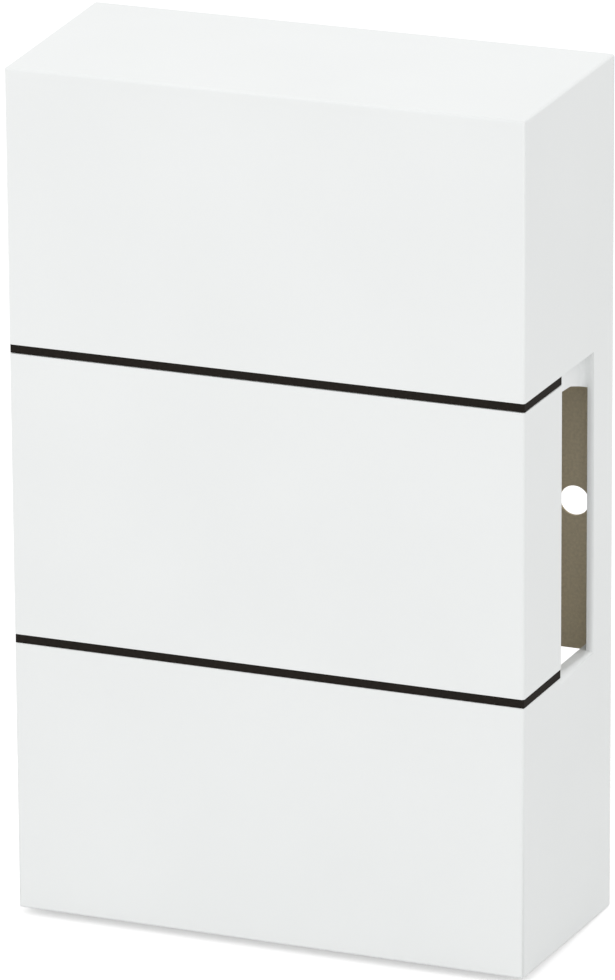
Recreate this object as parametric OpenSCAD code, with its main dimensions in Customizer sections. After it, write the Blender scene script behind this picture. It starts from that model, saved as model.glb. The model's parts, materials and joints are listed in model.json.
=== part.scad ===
// Two-note doorbell chime in a wall box: hood, clip-on front panel and sprung striker movement.
// The origin is the middle of the wall face. X runs to the right, Z up, and the front faces -Y.

/* [Case] */
// Width of the hood at the wall
case_w = 90; // [84:1:110]
// Height of the hood at the wall
case_h = 145; // [138:1:180]
// Depth from the wall to the front face
case_d = 38; // [36:1:50]
// How far each side leans in between the wall and the front
side_draft = 0.875; // [0:0.125:1.5]
// How far the top and the bottom lean in between the wall and the front
end_draft = 1.125; // [0:0.125:1.5]
// Wall thickness of the hood
wall = 2.4; // [2:0.1:2.8]
// Radius of the outer edges of the hood
edge_r = 0.5; // [0.3:0.1:1.6]
// Thickness of the rim round the base and of the strip behind a sound outlet
rim_t = 1.1; // [0.9:0.1:1.5]
// How far the strip behind a sound outlet reaches from the wall
rim_d = 8.4; // [7:0.1:11]
// Radius of the strip's edge in the sound outlet
lip_r = 0.8; // [0.3:0.1:0.8]

/* [Front panel] */
// Height of the front panel
panel_h = 47.7; // [40:0.1:52]
// Thickness of the front panel
panel_t = 1.8; // [1.4:0.1:2.2]
// How far the panel's sides reach back from the front face
panel_side = 15.9; // [12:0.1:18]
// Height of the dark line above and below the panel
line_h = 1.5; // [0.8:0.1:2]
// How far the dark line lies below the surface
line_drop = 0.25; // [0.1:0.05:1]
// Thickness of the dark tray behind the panel
tray_t = 1.2; // [0.8:0.1:1.6]
// Thickness of the hood wall behind the tray
bridge_t = 1.8; // [1.4:0.1:2.4]
// Slack between the panel and its tray
panel_slack = 0.1; // [0.05:0.05:0.2]
// Diameter of the four pegs on the panel
peg_d = 3; // [2.4:0.1:4]
// Distance of the pegs from the middle, across
peg_x = 30; // [24:0.5:34]
// Distance of the pegs from the middle, up and down
peg_z = 16; // [10:0.5:19]
// Length of the pegs past the hood wall
peg_past = 0.8; // [0.4:0.1:1.6]
// Slack round a peg
peg_slack = 0.06; // [0.04:0.01:0.1]

/* [Locating tabs] */
// How far a tab hangs below the top edge of its sound outlet, at the front
tab_front = 2.9; // [2:0.1:6]
// The same at the rear end of the tab
tab_rear = 7.1; // [3:0.1:8]
// How much the tab's lower edge falls over its front third
tab_bend = 0.9; // [0.2:0.1:1]
// Gap between the panel's side and the tab
tab_gap = 1.2; // [0.6:0.1:2]
// How far the tab's face lies below the side of the case, at the front
tab_drop = 0.4; // [0.2:0.1:0.8]
// Thickness of the tab where it meets the strip of the sound outlet
tab_t = 0.5; // [0.4:0.1:0.7]
// How far the tab reaches along the back of that strip
tab_hook = 3.5; // [2:0.5:5]

/* [Base] */
// Thickness of the base
base_t = 2; // [1.6:0.1:2.6]
// Slack between the base and the rim of the hood
base_slack = 0.2; // [0.1:0.05:0.4]
// Height of the broad middle of the base
base_h = 55.2; // [52:0.2:64]
// Width of the upright bar of the base
spine_w = 44; // [40:1:54]
// Radius of the corners of the base
base_r = 2; // [1:0.5:3]
// Diameter of the two wall screw holes
screw_d = 5; // [4:0.1:6]
// Thickness of the base round a wall screw hole
screw_web = 0.6; // [0.4:0.1:1]
// Diameter of the hollow behind a wall screw hole
hollow_d = 7.6; // [7:0.1:8]
// Distance from the case's side to the middle of a wall screw hole
screw_edge = 5.8; // [5.4:0.1:8]
// How far the wall screw holes lie below mid-height
screw_drop = 2.3; // [0:0.1:4]
// Width of the end lugs that locate the hood
lug_w = 16; // [10:1:24]
// Thickness of the end lugs
lug_t = 1.6; // [1.2:0.1:2]
// Height of the end lugs above the base
lug_h = 5; // [3:0.5:5]

/* [Tone bars] */
// Length of the left tone bar, the low note
bar_left = 84; // [78:1:90]
// Length of the right tone bar, the high note
bar_right = 76; // [74:1:86]
// Width of a tone bar
bar_w = 20; // [16:0.5:21]
// Thickness of a tone bar
bar_t = 2.5; // [2:0.1:3]
// Distance from the case's side to the middle of a tone bar
bar_inset = 10; // [9.6:0.1:11]
// Share of the length from an end to its support, where a free bar stands still
bar_node = 0.224; // [0.2:0.002:0.25]
// Diameter of the pegs that carry the tone bars
pin_d = 4; // [3:0.1:4.4]
// Diameter of the holes in the tone bars
bar_hole = 8; // [7:0.1:9]
// Diameter of the flanges of a grommet
grommet_d = 10.4; // [10:0.1:11]
// Thickness of a grommet flange
flange_t = 0.8; // [0.5:0.1:1]
// Slack of a grommet on its peg and in its bar
grommet_slack = 0.05; // [0.02:0.01:0.1]
// Outer diameter of a push-on clip
clip_d = 7.6; // [6:0.1:9]
// Thickness of a push-on clip
clip_t = 0.8; // [0.5:0.1:1]
// Width of the posts under the tone bars
post_w = 7; // [6:0.5:9]
// Thickness of the posts under the tone bars
post_t = 5; // [4:0.5:6]

/* [Striker movement] */
// Height of the plunger's axis above the base
axis_h = 15; // [14:0.5:16]
// Diameter of the plunger
plunger_d = 7.9; // [6:0.1:8.4]
// Slack of the plunger in its guide tube, on the radius
plunger_slack = 0.05; // [0.03:0.01:0.1]
// Wall of the guide tube
tube_t = 0.5; // [0.4:0.1:0.8]
// How far the guide tube stands out of the yoke
tube_out = 1; // [0.5:0.1:1.5]
// Left end of the yoke, from the middle
yoke_left = 12; // [11:0.5:14]
// Right end of the yoke, from the middle
yoke_right = 19; // [16:0.5:19]
// Thickness of the yoke strip and the keeper
yoke_t = 1.5; // [1:0.1:2]
// Width of the yoke strip and the keeper
yoke_w = 16; // [12:0.5:20]
// Width of the yoke's tenons in the keeper
tenon_w = 8; // [5:0.5:10]
// Outer diameter of the winding
coil_d = 16.4; // [14:0.1:16.8]
// Outer diameter of the bobbin flanges
bobbin_d = 17.4; // [16:0.1:17.6]
// Thickness of the bobbin flanges
bobbin_flange = 1.2; // [0.8:0.1:1.6]
// Wall of the bobbin tube
bobbin_wall = 0.9; // [0.6:0.1:1.4]
// Gap between the bobbin flanges and the yoke strip
bobbin_gap = 0.3; // [0.2:0.1:0.6]
// Slack between pieces that are pushed together
push_slack = 0.05; // [0.02:0.01:0.1]
// Travel of the plunger to the right, drawn in by the coil
pull_travel = 6; // [4:0.1:6.5]
// Travel of the plunger to the left, past its rest
back_travel = 2.4; // [1.5:0.1:3]
// Gap left between a striker tip and its bar at the end of the travel
strike_gap = 0.3; // [0.2:0.05:0.5]
// Length of the striker tips outside the plunger
tip_out = 4.5; // [3.5:0.1:5]
// Diameter of the striker tips
tip_d = 5; // [4:0.1:6]
// Diameter of the stem of a striker tip
stem_d = 3; // [2:0.1:3.4]
// Length of the stem of a striker tip
stem_l = 4; // [3:0.1:5]
// Diameter of the clip that holds the spring
ring_d = 12; // [11:0.1:13]
// Thickness of the clip that holds the spring
ring_t = 0.8; // [0.6:0.1:1]
// Width of the mouth of the clip that holds the spring
ring_mouth = 5.2; // [4.4:0.1:5.6]
// Depth of the groove for the clip
groove = 0.75; // [0.4:0.05:0.8]
// Plunger end past the clip
ring_end = 0.8; // [0.6:0.1:1]
// Wire of the return spring
wire_d = 0.6; // [0.4:0.05:0.7]
// Mean diameter of the return spring
spring_d = 10.4; // [10.2:0.1:10.8]
// Turns of the return spring
spring_turns = 5; // [3:1:6]
// Diameter of the screws that hold the yoke
yoke_screw_d = 3; // [2.5:0.1:3.5]
// Diameter of the yoke screw heads
yoke_head_d = 5.6; // [5:0.1:6]
// Height of the yoke screw heads
yoke_head_h = 1.6; // [1.2:0.1:1.6]
// Distance between the yoke screws
yoke_screw_pitch = 20; // [16:0.5:22]
// Diameter of the posts under the yoke
yoke_post_d = 9; // [8:0.5:12]

/* [Terminal block] */
// Width of the terminal block
block_w = 22; // [20:0.5:28]
// Height of the terminal block along the wall
block_h = 14; // [12:0.5:18]
// How far the terminal block stands out from the base
block_d = 11; // [10:0.5:13]
// Distance of the terminal block below the middle
block_z = 48; // [46:0.5:54]
// Distance between the two terminals
terminal_pitch = 13; // [12:0.5:16]
// Outer size of a brass sleeve
sleeve_w = 5.2; // [4.6:0.1:5.6]
// Length of a brass sleeve
sleeve_l = 10; // [8:0.5:11]
// Diameter of the wire hole in a sleeve
wire_hole = 3; // [2.4:0.1:3.2]
// Height of the wire holes above the base
wire_h = 5; // [4:0.1:6]
// Diameter of the terminal screws
clamp_d = 2.5; // [2:0.1:3]
// Diameter of the terminal screw heads
clamp_head = 3.8; // [3.2:0.1:4.2]
// Height of the terminal screw heads
clamp_head_h = 1.5; // [1:0.1:2]
// Diameter of the screw that holds the block
block_screw_d = 2.9; // [2.5:0.1:3.2]
// Diameter of that screw's head
block_head_d = 5; // [4.4:0.1:5.4]
// Height of that screw's head
block_head_h = 1.8; // [1.4:0.1:2.4]
// Slack round screws and heads
screw_slack = 0.2; // [0.1:0.05:0.3]
// Width of a screwdriver slot
slot_w = 0.7; // [0.5:0.1:0.9]
// Diameter of the leads from the winding to the terminals
lead_d = 1.2; // [0.8:0.1:1.4]

/* [Hidden] */
$fn = 64;
// Joined solids overlap by eps, and cuts run past the faces that they open.
eps = 0.01;
past = 1;
white = [0.93, 0.93, 0.92];
near_black = [0.12, 0.11, 0.10];
board_brown = [0.50, 0.46, 0.38];
steel = [0.70, 0.71, 0.73];
zinc = [0.62, 0.63, 0.64];
brass = [0.80, 0.66, 0.36];
copper_tape = [0.62, 0.30, 0.12];
nylon = [0.90, 0.88, 0.80];
rubber = [0.10, 0.10, 0.10];

// The case is widest at the wall, where y is 0, and its front face is at a negative y.
front = -case_d;
panel_end = front + panel_side;
seat = panel_t + panel_slack + tray_t;
inner = seat + bridge_t;
line_out = panel_h / 2 + line_h;
function half_w(y) = case_w / 2 + side_draft * y / case_d;
function half_h(y) = case_h / 2 + end_draft * y / case_d;

// The base and what stands on it
base_front = -base_t;
base_half_w = half_w(base_front) - rim_t - base_slack;
base_half_h = half_h(base_front) - rim_t - base_slack;
lug_front = base_front - lug_h;
lug_top = half_h(lug_front) - wall - base_slack;
rebate = base_t + base_slack;

// The tone bars and their carriers
axis_y = base_front - axis_h;
bar_x = case_w / 2 - bar_inset;
bar_inner = bar_x - bar_t / 2;
bar_outer = bar_x + bar_t / 2;
post_outer = bar_inner - flange_t;
pin_end = bar_outer + flange_t + 2 * clip_t;
post_front = axis_y - post_w / 2;
function bar_length(side) = side < 0 ? bar_left : bar_right;
function carrier_z(side) = bar_length(side) * (0.5 - bar_node);

// The striker movement along X
tube_r = plunger_d / 2 + plunger_slack;
tube_outer = tube_r + tube_t;
bobbin_bore = tube_outer + push_slack;
bobbin_tube = bobbin_bore + bobbin_wall;
yoke_inner = bobbin_d / 2 + bobbin_gap;
strip_front = axis_y + yoke_inner;
strip_back = strip_front + yoke_t;
ear_front = axis_y - yoke_inner;
keeper_front = ear_front - yoke_t;
strike_left = -bar_inner + strike_gap + back_travel;
strike_right = bar_inner - strike_gap - pull_travel;
plunger_left = strike_left + tip_out;
plunger_right = strike_right - tip_out;
ring_left = plunger_left + ring_end;
spring_left = ring_left + ring_t;
spring_right = -yoke_left;
yoke_mid = (yoke_right - yoke_left) / 2;
function yoke_screw_x(end) = yoke_mid + end * yoke_screw_pitch / 2;

// The terminal block along Z and Y
block_front = base_front - block_d;
wire_y = base_front - wire_h;
clamp_tip = wire_y - lead_d / 2;

// The leads run from the winding to the terminals through these points, left side given.
lead_x = yoke_left - yoke_t - bobbin_flange - lead_d;
lead_start = coil_d / 2 + push_slack;
lead_end = block_z - sleeve_l / 4;
lead_route = [[-lead_x, axis_y, -lead_start], [-lead_x, axis_y, -lead_start - 2],
              [-lead_x, axis_y + 2, -16], [-lead_x, axis_y + 5, -23],
              [-terminal_pitch / 2 - 0.5, wire_y - 2, -30],
              [-terminal_pitch / 2, wire_y, -36], [-terminal_pitch / 2, wire_y, -lead_end]];
lead_steps = 3;
lead_sides = 8;

// Solid between two depths, inset from the leaning sides of the case
module drafted(inset, y_front, y_back) {
    intersection() {
        linear_extrude(height = 2 * case_h, center = true)
            polygon([[-half_w(y_back) + inset, y_back], [half_w(y_back) - inset, y_back],
                     [half_w(y_front) - inset, y_front], [-half_w(y_front) + inset, y_front]]);
        rotate([90, 0, 90])
            linear_extrude(height = 2 * case_w, center = true)
                polygon([[y_back, -half_h(y_back) + inset], [y_back, half_h(y_back) - inset],
                         [y_front, half_h(y_front) - inset], [y_front, -half_h(y_front) + inset]]);
    }
}

// Flat outline of the case from the wall to the front, with round front corners
module leaning_outline(half_back, draft) {
    lean = draft / case_d;
    slope = sqrt(1 + lean * lean);
    y_mid = front + edge_r;
    x_mid = half_back + lean * y_mid - edge_r * slope;
    x_side = x_mid + edge_r / slope;
    y_side = y_mid - edge_r * lean / slope;
    polygon([[-half_back, 0], [half_back, 0], [x_side, y_side], [x_mid, front],
             [-x_mid, front], [-x_side, y_side]]);
    for (side = [-1, 1])
        translate([side * x_mid, y_mid])
            circle(r = edge_r);
}

// Flat cuts that round the four edges between the wall and the front
module edge_cuts() {
    lean_x = side_draft / case_d;
    lean_z = end_draft / case_d;
    x_mid = half_w(0) - edge_r * sqrt(1 + lean_x * lean_x);
    z_mid = half_h(0) - edge_r * sqrt(1 + lean_z * lean_z);
    for (sx = [-1, 1], sz = [-1, 1], angle = [22.5, 45, 67.5]) {
        out = [sx * cos(angle), -cos(angle) * lean_x - sin(angle) * lean_z, sz * sin(angle)];
        translate([sx * x_mid, 0, sz * z_mid])
            rotate([0, -asin(out[2] / norm(out)), atan2(out[1], out[0])])
                translate([edge_r, -2 * case_d, -case_d])
                    cube([case_d, 4 * case_d, 2 * case_d]);
    }
}

// Outer form of the case with its rounded edges
module case_form() {
    difference() {
        intersection() {
            linear_extrude(height = 2 * case_h, center = true)
                leaning_outline(case_w / 2, side_draft);
            rotate([0, -90, 0])
                linear_extrude(height = 2 * case_w, center = true)
                    leaning_outline(case_h / 2, end_draft);
        }
        edge_cuts();
    }
}

// Slab across the case between two heights and two depths
module slab(z_low, z_high, y_front, y_back) {
    translate([-case_w, y_front, z_low])
        cube([2 * case_w, y_back - y_front, z_high - z_low]);
}

// Cylinder along X, from one x to another, round the plunger's axis
module on_axis(x_from, x_to, r) {
    translate([x_from, axis_y, 0])
        rotate([0, 90, 0])
            cylinder(r = r, h = x_to - x_from);
}

// Cylinder along Y from one depth to another
module along_y(x, z, y_from, y_to, r) {
    translate([x, y_from, z])
        rotate([-90, 0, 0])
            cylinder(r = r, h = y_to - y_from);
}

// The four places of the panel's pegs
module at_pegs() {
    for (sx = [-1, 1], sz = [-1, 1])
        translate([sx * peg_x, 0, sz * peg_z])
            children();
}

// The four places where a tone bar is carried
module at_carriers() {
    for (side = [-1, 1], sz = [-1, 1])
        translate([0, axis_y, sz * carrier_z(side)])
            rotate([0, 90 * side, 0])
                children();
}

// The tabs at the top of the sound outlets: their faces run deeper towards the strip, which is solid there
module tab_form() {
    y_tab = panel_end + tab_gap;
    y_end = tab_hook - rim_d;
    x_tab = half_w(y_tab) - tab_drop;
    x_rear = half_w(-rim_d) - wall + tab_t;
    x_strip = half_w(-rim_d) - rim_t / 2;
    z_tab = line_out - tab_front;
    intersection() {
        linear_extrude(height = 2 * case_h, center = true)
            polygon([[-x_tab, y_tab], [x_tab, y_tab], [x_rear, -rim_d], [x_strip, -rim_d],
                     [x_strip, y_end], [-x_strip, y_end], [-x_strip, -rim_d], [-x_rear, -rim_d]]);
        rotate([90, 0, 90])
            linear_extrude(height = 2 * case_w, center = true)
                polygon([[y_tab, case_h], [y_tab, z_tab], [(2 * y_tab + y_end) / 3, z_tab - tab_bend],
                         [y_end, line_out - tab_rear], [y_end, case_h]]);
    }
}

// Hollow at the back: a rebate for the base all round, deeper behind the sound outlets
module back_hollow() {
    intersection() {
        drafted(rim_t, -rim_d - eps, past);
        union() {
            slab(-line_out, line_out, front, past);
            slab(-case_h, case_h, -rebate, past);
        }
    }
}

// Cuts for the sound outlets and the back, which leave the tabs
module outlet_cuts() {
    x_cut = half_w(front) - inner;
    difference() {
        union() {
            for (side = [-1, 1])
                translate([side > 0 ? x_cut : -x_cut - case_w, panel_end - eps, -line_out])
                    cube([case_w, -rim_d - panel_end + eps, 2 * line_out]);
            back_hollow();
        }
        tab_form();
    }
}

// Cut that rounds the edge of the strip where it borders a sound outlet
module strip_rounding() {
    y_mid = lip_r - rim_d;
    for (side = [-1, 1])
        translate([side * (half_w(y_mid) - lip_r), y_mid, -line_out])
            difference() {
                translate([side > 0 ? 0 : -lip_r - past, -lip_r - past, 0])
                    cube([lip_r + past, lip_r + past, 2 * line_out]);
                cylinder(r = lip_r, h = 2 * line_out);
            }
}

module hood() {
    color(white)
        difference() {
            union() {
                difference() {
                    case_form();
                    drafted(wall, front + wall, past);
                }
                intersection() {
                    difference() {
                        drafted(wall / 2, front + wall / 2, panel_end);
                        drafted(inner, front + inner, panel_end + past);
                    }
                    slab(-line_out - wall, line_out + wall, front, 0);
                }
            }
            difference() {
                slab(-line_out, line_out, front - past, panel_end);
                drafted(seat, front + seat, panel_end + past);
            }
            outlet_cuts();
            strip_rounding();
            at_pegs()
                along_y(0, 0, front, front + inner + past, peg_d / 2 + peg_slack);
        }
}

module panel_tray() {
    color(near_black)
        difference() {
            union() {
                intersection() {
                    drafted(panel_t + panel_slack, front + panel_t + panel_slack, panel_end);
                    slab(-line_out, line_out, front, 0);
                }
                intersection() {
                    case_form();
                    drafted(line_drop, front + line_drop, panel_end);
                    union() {
                        slab(panel_h / 2 + panel_slack, line_out, front, 0);
                        slab(-line_out, -panel_h / 2 - panel_slack, front, 0);
                    }
                }
            }
            drafted(seat, front + seat, panel_end + past);
            at_pegs()
                along_y(0, 0, front, front + inner, peg_d / 2 + peg_slack);
        }
}

module front_panel() {
    color(white) {
        difference() {
            intersection() {
                case_form();
                slab(-panel_h / 2, panel_h / 2, front, panel_end);
            }
            drafted(panel_t, front + panel_t, panel_end + past);
        }
        at_pegs()
            along_y(0, 0, front + panel_t - eps, front + inner + peg_past, peg_d / 2);
    }
}

// Flat outline with round corners
module rounded_rect(half_x, half_z) {
    square([2 * half_x, 2 * (half_z - base_r)], center = true);
    square([2 * (half_x - base_r), 2 * half_z], center = true);
    for (sx = [-1, 1], sz = [-1, 1])
        translate([sx * (half_x - base_r), sz * (half_z - base_r)])
            circle(r = base_r);
}

module base() {
    color(board_brown)
        difference() {
            union() {
                rotate([90, 0, 0])
                    linear_extrude(height = base_t) {
                        rounded_rect(base_half_w, base_h / 2);
                        rounded_rect(spine_w / 2, base_half_h);
                    }
                for (sz = [-1, 1])
                    translate([-lug_w / 2, lug_front, sz > 0 ? lug_top - lug_t : -lug_top])
                        cube([lug_w, lug_h + eps, lug_t]);
                for (side = [-1, 1], sz = [-1, 1])
                    translate([side > 0 ? post_outer - post_t : -post_outer, post_front,
                               sz * carrier_z(side) - post_w / 2])
                        cube([post_t, base_front - post_front + eps, post_w]);
                at_carriers()
                    translate([0, 0, post_outer - eps])
                        cylinder(d = pin_d, h = pin_end - post_outer + eps);
                for (end = [-1, 1])
                    along_y(yoke_screw_x(end), 0, strip_back, base_front + eps, yoke_post_d / 2);
            }
            for (side = [-1, 1]) {
                x = side * (case_w / 2 - screw_edge);
                along_y(x, -screw_drop, base_front - past, past, screw_d / 2);
                along_y(x, -screw_drop, base_front + screw_web, past, hollow_d / 2);
            }
            for (end = [-1, 1]) {
                x = yoke_screw_x(end);
                along_y(x, 0, strip_back - past, past, yoke_screw_d / 2 + screw_slack);
                along_y(x, 0, -yoke_head_h - screw_slack, past, yoke_head_d / 2 + screw_slack);
            }
            along_y(0, -block_z, base_front - past, past, block_screw_d / 2 + push_slack);
        }
}

module tone_bar(side) {
    length = bar_length(side);
    color(steel)
        difference() {
            translate([side * bar_x - bar_t / 2, axis_y - bar_w / 2, -length / 2])
                cube([bar_t, bar_w, length]);
            for (sz = [-1, 1])
                translate([side * bar_x - bar_t, axis_y, sz * carrier_z(side)])
                    rotate([0, 90, 0])
                        cylinder(d = bar_hole, h = 2 * bar_t);
        }
}

module tone_bar_left() {
    tone_bar(-1);
}

module tone_bar_right() {
    tone_bar(1);
}

module bar_grommets() {
    color(rubber)
        at_carriers()
            difference() {
                union() {
                    translate([0, 0, post_outer])
                        cylinder(d = bar_hole - 2 * grommet_slack, h = bar_t + 2 * flange_t);
                    for (z = [post_outer, bar_outer])
                        translate([0, 0, z])
                            cylinder(d = grommet_d, h = flange_t);
                }
                translate([0, 0, post_outer - past])
                    cylinder(d = pin_d + 2 * grommet_slack, h = bar_t + 2 * flange_t + 2 * past);
            }
}

module bar_clips() {
    z = bar_outer + flange_t;
    color(zinc)
        at_carriers()
            difference() {
                translate([0, 0, z])
                    cylinder(d = clip_d, h = clip_t);
                translate([0, 0, z - past])
                    cylinder(d = pin_d + 2 * push_slack, h = clip_t + 2 * past);
            }
}

module yoke() {
    color(zinc)
        difference() {
            union() {
                translate([-yoke_left, strip_front, -yoke_w / 2])
                    cube([yoke_left + yoke_right, yoke_t, yoke_w]);
                for (x = [-yoke_left, yoke_right - yoke_t]) {
                    translate([x, ear_front, -yoke_w / 2])
                        cube([yoke_t, strip_back - ear_front, yoke_w]);
                    translate([x, keeper_front, -tenon_w / 2])
                        cube([yoke_t, yoke_t + eps, tenon_w]);
                }
            }
            on_axis(-yoke_left - past, yoke_right + past, tube_outer + push_slack);
            for (end = [-1, 1])
                along_y(yoke_screw_x(end), 0, strip_front - past, strip_back + past,
                        yoke_screw_d / 2 + push_slack);
        }
}

module keeper() {
    color(zinc)
        difference() {
            translate([-yoke_left - yoke_t / 2, keeper_front, -yoke_w / 2])
                cube([yoke_left + yoke_right + yoke_t, yoke_t, yoke_w]);
            for (x = [-yoke_left, yoke_right - yoke_t])
                translate([x - push_slack, keeper_front - past, -tenon_w / 2 - push_slack])
                    cube([yoke_t + 2 * push_slack, yoke_t + 2 * past, tenon_w + 2 * push_slack]);
        }
}

module bobbin() {
    x_left = -yoke_left + yoke_t + push_slack;
    x_right = yoke_right - yoke_t - push_slack;
    color(nylon)
        difference() {
            union() {
                on_axis(x_left, x_right, bobbin_tube);
                on_axis(x_left, x_left + bobbin_flange, bobbin_d / 2);
                on_axis(x_right - bobbin_flange, x_right, bobbin_d / 2);
            }
            on_axis(x_left - past, x_right + past, bobbin_bore);
        }
}

module winding() {
    gap = yoke_t + 2 * push_slack + bobbin_flange;
    color(copper_tape)
        difference() {
            on_axis(-yoke_left + gap, yoke_right - gap, coil_d / 2);
            on_axis(-yoke_left, yoke_right, bobbin_tube + push_slack);
        }
}

module guide_tube() {
    color(brass)
        difference() {
            on_axis(-yoke_left - tube_out, yoke_right + tube_out, tube_outer);
            on_axis(-yoke_left - tube_out - past, yoke_right + tube_out + past, tube_r);
        }
}

module plunger() {
    color(steel)
        difference() {
            on_axis(plunger_left, plunger_right, plunger_d / 2);
            difference() {
                on_axis(ring_left, spring_left, plunger_d);
                on_axis(ring_left - past, spring_left + past, plunger_d / 2 - groove);
            }
            on_axis(plunger_left - past, plunger_left + stem_l, stem_d / 2 + push_slack);
            on_axis(plunger_right - stem_l, plunger_right + past, stem_d / 2 + push_slack);
        }
}

// Striker tip that points along X: a stem in the plunger and a round nose
module striker_tip(x_plunger, side) {
    nose = tip_d / 2;
    color(nylon)
        translate([x_plunger, axis_y, 0])
            rotate([0, 90 * side, 0]) {
                translate([0, 0, push_slack - stem_l])
                    cylinder(d = stem_d, h = stem_l);
                cylinder(d = tip_d, h = tip_out - nose);
                translate([0, 0, tip_out - nose])
                    sphere(r = nose);
            }
}

module striker_tip_left() {
    striker_tip(plunger_left, -1);
}

module striker_tip_right() {
    striker_tip(plunger_right, 1);
}

module spring_clip() {
    r = plunger_d / 2 - groove + push_slack;
    color(zinc)
        difference() {
            on_axis(ring_left, spring_left, ring_d / 2);
            on_axis(ring_left - past, spring_left + past, r);
            translate([ring_left - past, axis_y - ring_mouth / 2, -ring_d])
                cube([ring_t + 2 * past, ring_mouth, ring_d]);
        }
}

// Tube with triangle faces through a list of points. Rings stand square to the path.
function unit(v) = v / norm(v);
function path_dir(p, i) =
    i == 0 ? unit(p[1] - p[0]) :
    i == len(p) - 1 ? unit(p[i] - p[i - 1]) :
    unit(unit(p[i + 1] - p[i]) + unit(p[i] - p[i - 1]));
function ring_points(centre, dir, up, r, sides) =
    let (side = unit(cross(dir, up)), top = cross(side, dir))
    [for (k = [0 : sides - 1]) centre + r * (cos(360 * k / sides) * side + sin(360 * k / sides) * top)];

module tube_along(p, up, d, sides) {
    n = len(p);
    points = [for (i = [0 : n - 1]) each ring_points(p[i], path_dir(p, i), up[i], d / 2, sides)];
    walls = [for (i = [0 : n - 2], k = [0 : sides - 1])
             let (a = i * sides + k, b = i * sides + (k + 1) % sides)
             each [[a, b, b + sides], [a, b + sides, a + sides]]];
    first = [for (k = [1 : sides - 2]) [0, k + 1, k]];
    last = [for (k = [1 : sides - 2]) [0, k, k + 1] + (n - 1) * sides * [1, 1, 1]];
    polyhedron(points = points, faces = concat(walls, first, last));
}

// The spring's wire: a straight stretch at each end, square to its seats, and even turns between
rings_per_turn = 8;
spring_rings = rings_per_turn * spring_turns;
spring_run = spring_right - spring_left - 2 * wire_d;
function spring_point(x, angle) =
    [x, axis_y + spring_d / 2 * cos(angle), spring_d / 2 * sin(angle)];
spring_angles = concat([0], [for (i = [0 : spring_rings]) 360 * i / rings_per_turn], [360 * spring_turns]);
spring_path = concat(
    [spring_point(spring_left, 0)],
    [for (i = [0 : spring_rings])
     spring_point(spring_left + wire_d + spring_run * i / spring_rings, 360 * i / rings_per_turn)],
    [spring_point(spring_right, 360 * spring_turns)]);
spring_gap = min([for (i = [1 : len(spring_path) - 2], j = [1 : len(spring_path) - 2])
                  if (j >= i + 5) norm(spring_path[i] - spring_path[j])]) - wire_d;
echo(least_spring_gap = spring_gap);

module return_spring() {
    color(steel)
        tube_along(spring_path, [for (a = spring_angles) [0, cos(a), sin(a)]], wire_d, 6);
}

// Screw along Y with a slotted pan head that faces +Y or -Y
module slotted_screw(y_head, head_h, head_d, shank_d, length, facing) {
    translate([0, y_head, 0])
        rotate([-90 * facing, 0, 0])
            difference() {
                union() {
                    translate([0, 0, -head_h])
                        cylinder(d = head_d, h = head_h);
                    translate([0, 0, -head_h - length])
                        cylinder(d = shank_d, h = length + eps);
                }
                translate([-head_d, -slot_w / 2, -head_h / 2])
                    cube([2 * head_d, slot_w, head_h]);
            }
}

module yoke_screws() {
    color(zinc)
        for (end = [-1, 1])
            translate([yoke_screw_x(end), 0, 0])
                slotted_screw(-screw_slack, yoke_head_h, yoke_head_d, yoke_screw_d,
                              -strip_front - yoke_head_h - screw_slack, 1);
}

module terminal_block() {
    pocket = sleeve_w + 2 * push_slack;
    color(white)
        difference() {
            translate([-block_w / 2, block_front, -block_z - block_h / 2])
                cube([block_w, block_d, block_h]);
            for (side = [-1, 1])
                translate([side * terminal_pitch / 2, 0, -block_z]) {
                    translate([-pocket / 2, wire_y - pocket / 2, -block_h])
                        cube([pocket, pocket, 2 * block_h]);
                    along_y(0, 0, block_front - past, wire_y, clamp_head / 2 + screw_slack);
                }
            along_y(0, -block_z, block_front - past, 0, block_screw_d / 2 + screw_slack);
            along_y(0, -block_z, block_front - past, block_front + block_head_h,
                    block_head_d / 2 + screw_slack);
        }
}

module terminal_sleeves() {
    color(brass)
        for (side = [-1, 1])
            translate([side * terminal_pitch / 2, 0, -block_z])
                difference() {
                    translate([-sleeve_w / 2, wire_y - sleeve_w / 2, -sleeve_l / 2])
                        cube([sleeve_w, sleeve_w, sleeve_l]);
                    translate([0, wire_y, -sleeve_l])
                        cylinder(d = wire_hole, h = 2 * sleeve_l);
                    along_y(0, 0, block_front, wire_y, clamp_d / 2 + push_slack);
                }
}

module terminal_screws() {
    color(zinc)
        for (side = [-1, 1])
            translate([side * terminal_pitch / 2, 0, -block_z])
                slotted_screw(block_front + screw_slack, clamp_head_h, clamp_head, clamp_d,
                              clamp_tip - block_front - screw_slack - clamp_head_h, -1);
}

module block_screw() {
    color(zinc)
        translate([0, 0, -block_z])
            slotted_screw(block_front, block_head_h, block_head_d, block_screw_d,
                          block_d + base_t / 2 - block_head_h, -1);
}

// Smooth curve through the points of a route
function curve_point(a, b, c, d, t) =
    b + 0.5 * t * (c - a + t * (2 * a - 5 * b + 4 * c - d + t * (3 * (b - c) + d - a)));
function smooth_route(p, steps) = concat(
    [for (i = [0 : len(p) - 2], s = [0 : steps - 1])
     curve_point(p[max(i - 1, 0)], p[i], p[i + 1], p[min(i + 2, len(p) - 1)], s / steps)],
    [p[len(p) - 1]]);
lead_path = smooth_route(lead_route, lead_steps);

module lead_left() {
    color(copper_tape)
        tube_along(lead_path, [for (q = lead_path) [1, 0, 0]], lead_d, lead_sides);
}

module lead_right() {
    color(copper_tape)
        mirror([1, 0, 0])
            tube_along(lead_path, [for (q = lead_path) [1, 0, 0]], lead_d, lead_sides);
}

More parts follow.
